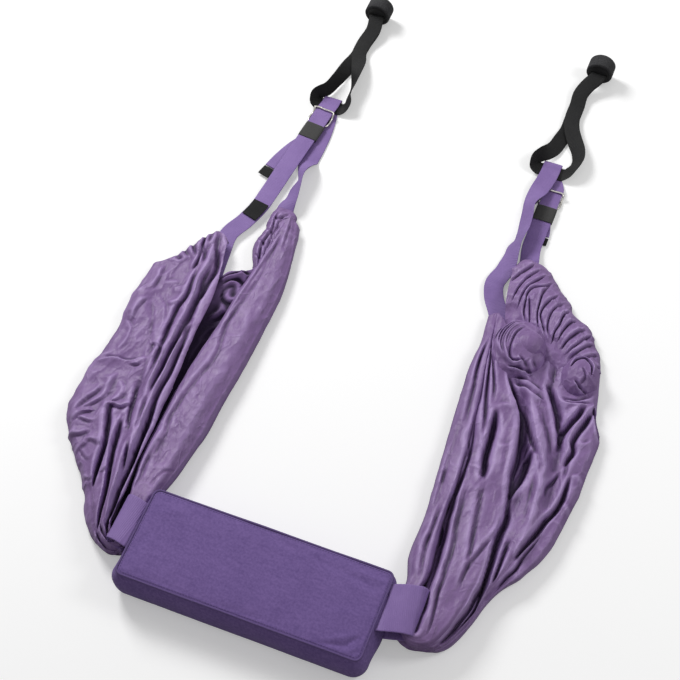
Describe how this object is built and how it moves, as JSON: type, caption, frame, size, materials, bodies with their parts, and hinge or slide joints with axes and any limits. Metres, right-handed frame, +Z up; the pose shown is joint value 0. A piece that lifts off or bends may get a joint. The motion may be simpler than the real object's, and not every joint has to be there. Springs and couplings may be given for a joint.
{
  "type": "door stretching strap",
  "caption": "Foam pad with a webbing loop at each end, a gathered fabric sling through each loop, and adjustable straps that end in foam door anchors.",
  "frame": {"origin": "middle of the pad's flat base", "axes": "+X along the pad's long side, +Y along the slings and straps towards the door anchors, +Z up from the floor"},
  "size_m": [0.7473, 1.154, 0.057],
  "materials": {
    "canvas": "matte woven canvas",
    "canvas_welt": "matte",
    "purple_webbing": "woven webbing",
    "satin": "satin knit with a soft sheen",
    "black_webbing": "woven webbing",
    "elastic": "black woven elastic",
    "foam": "open-cell foam",
    "foam_dark": "closed-cell foam sleeve",
    "plastic": "moulded",
    "nickel": "nickel-plated wire"
  },
  "bodies": {
    "pad": {"pad_cover": "canvas", "pad_foam": "foam", "pad_top_welt": "canvas_welt", "zip_upper_tape": "canvas_welt", "zip_lower_tape": "canvas_welt", "zip_chain": "plastic", "left_pad_loop": "purple_webbing", "right_pad_loop": "purple_webbing", "left_sling_loop_end": "satin", "right_sling_loop_end": "satin"},
    "zip_slider": {"zip_slider": "nickel"},
    "zip_pull": {"zip_pull": "nickel"},
    "left_sling": {"left_sling": "satin", "left_hem_webbing": "purple_webbing", "left_label": "elastic"},
    "left_strap": {"left_strap": "purple_webbing", "left_ring_lower_run": "black_webbing"},
    "left_slider": {"left_slider_frame": "nickel", "left_slider_bar": "nickel", "left_keeper": "elastic", "left_tail": "purple_webbing", "left_tail_tip": "elastic"},
    "left_ring": {"left_ring_first_leg": "black_webbing", "left_ring_second_leg": "black_webbing"},
    "left_anchor": {"left_anchor_foam": "foam_dark", "left_anchor_core": "plastic", "left_anchor_stop": "plastic", "left_ring_upper_end": "black_webbing", "left_ring_lower_end": "black_webbing"},
    "right_sling": {"right_sling": "satin", "right_hem_webbing": "purple_webbing"},
    "right_strap": {"right_strap": "purple_webbing", "right_ring_lower_run": "black_webbing", "right_label": "elastic"},
    "right_slider": {"right_slider_frame": "nickel", "right_slider_bar": "nickel", "right_keeper": "elastic", "right_tail": "purple_webbing", "right_tail_tip": "elastic"},
    "right_ring": {"right_ring_first_leg": "black_webbing", "right_ring_second_leg": "black_webbing"},
    "right_anchor": {"right_anchor_foam": "foam_dark", "right_anchor_core": "plastic", "right_anchor_stop": "plastic", "right_ring_upper_end": "black_webbing", "right_ring_lower_end": "black_webbing"}
  },
  "joints": [
    {"name": "zip_slide", "type": "slide", "parent": "pad", "child": "zip_slider", "axis": [1, 0, 0], "range_m": [-0.222, 0]},
    {"name": "zip_pull_hinge", "type": "hinge", "parent": "zip_slider", "child": "zip_pull", "pos_m": [0.108, 0.0776, 0.027], "axis": [1, 0, 0], "range_deg": [0, 90]},
    {"name": "left_sling_lift", "type": "hinge", "parent": "pad", "child": "left_sling", "pos_m": [-0.24, 0.06, 0.05], "axis": [1, 0, 0], "range_deg": [0, 100]},
    {"name": "left_strap_fold", "type": "hinge", "parent": "left_sling", "child": "left_strap", "pos_m": [-0.24, 0.632, 0.024], "axis": [1, 0, 0], "range_deg": [0, 80]},
    {"name": "left_slider_slide", "type": "slide", "parent": "left_strap", "child": "left_slider", "axis": [0.1063, 0.9943, 0], "range_m": [-0.028, 0]},
    {"name": "left_ring_fold", "type": "hinge", "parent": "left_strap", "child": "left_ring", "pos_m": [-0.24, 0.864, 0.028], "axis": [1, 0, 0], "range_deg": [0, 80]},
    {"name": "left_anchor_tilt", "type": "hinge", "parent": "left_ring", "child": "left_anchor", "pos_m": [-0.217, 1.044, 0.025], "axis": [1, 0, 0], "range_deg": [0, 75]},
    {"name": "right_sling_lift", "type": "hinge", "parent": "pad", "child": "right_sling", "pos_m": [0.24, 0.06, 0.05], "axis": [1, 0, 0], "range_deg": [0, 100]},
    {"name": "right_strap_fold", "type": "hinge", "parent": "right_sling", "child": "right_strap", "pos_m": [0.24, 0.659, 0.024], "axis": [1, 0, 0], "range_deg": [0, 80]},
    {"name": "right_slider_slide", "type": "slide", "parent": "right_strap", "child": "right_slider", "axis": [0, 1, 0], "range_m": [-0.035, 0]},
    {"name": "right_ring_fold", "type": "hinge", "parent": "right_strap", "child": "right_ring", "pos_m": [0.24, 0.872, 0.028], "axis": [1, 0, 0], "range_deg": [0, 80]},
    {"name": "right_anchor_tilt", "type": "hinge", "parent": "right_ring", "child": "right_anchor", "pos_m": [0.174, 1.053, 0.025], "axis": [1, 0, 0], "range_deg": [0, 75]}
  ]
}
